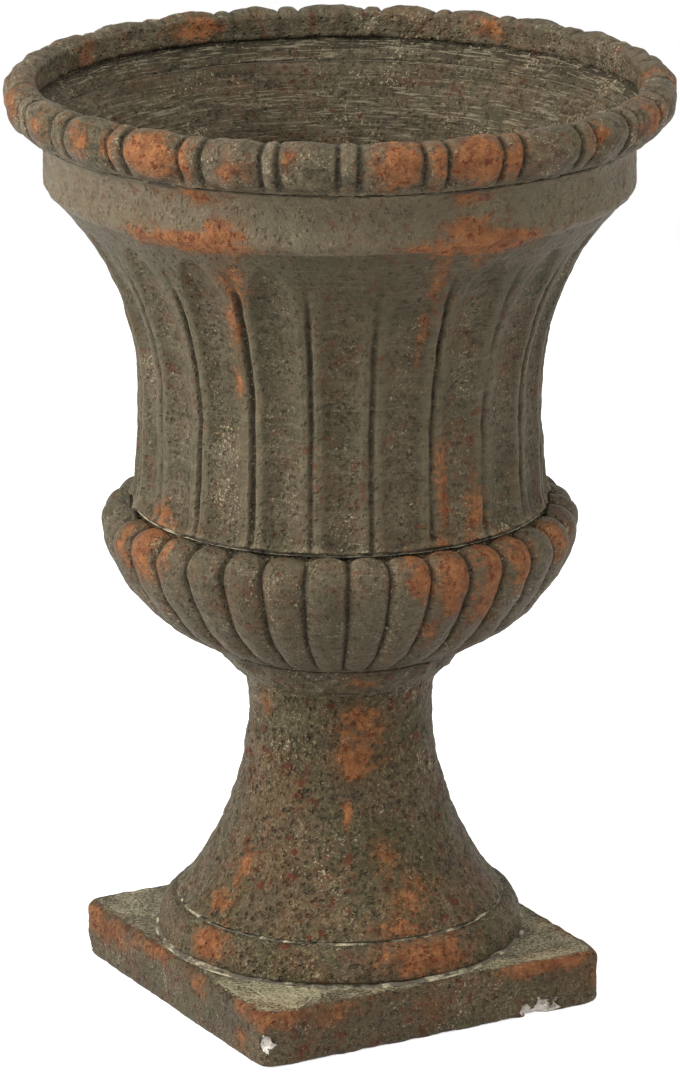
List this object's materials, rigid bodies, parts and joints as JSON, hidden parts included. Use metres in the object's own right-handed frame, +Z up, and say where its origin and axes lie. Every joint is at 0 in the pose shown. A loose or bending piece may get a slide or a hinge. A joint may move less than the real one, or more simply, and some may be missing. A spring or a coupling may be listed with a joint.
{
  "type": "garden urn",
  "caption": "Garden urn: fluted bell on a lobed bowl with a beaded rim, lifting off a hollow flared stem on a square plinth; an open planter with a drain hole.",
  "frame": {"origin": "on the ground under the middle of the plinth", "axes": "+Z up along the urn's axis; X and Y square to the sides of the plinth"},
  "size_m": [0.35, 0.35, 0.5],
  "materials": {
    "rough_casting": "matte",
    "smooth_casting": "matte",
    "lime_bedding": "matte"
  },
  "bodies": {
    "pedestal": {"plinth": "rough_casting", "plinth_bed": "lime_bedding", "foot_ring": "rough_casting", "foot_joint": "lime_bedding", "stem": "rough_casting"},
    "bowl": {"neck_ring": "smooth_casting", "gadroon_bowl": "smooth_casting", "bell_joint": "lime_bedding", "fluted_bell": "smooth_casting", "rim_joint": "lime_bedding", "rim_ring": "smooth_casting"}
  },
  "joints": [
    {"name": "bowl_lift", "type": "slide", "parent": "pedestal", "child": "bowl", "axis": [0, 0, 1], "range_m": [0, 0.1]}
  ]
}
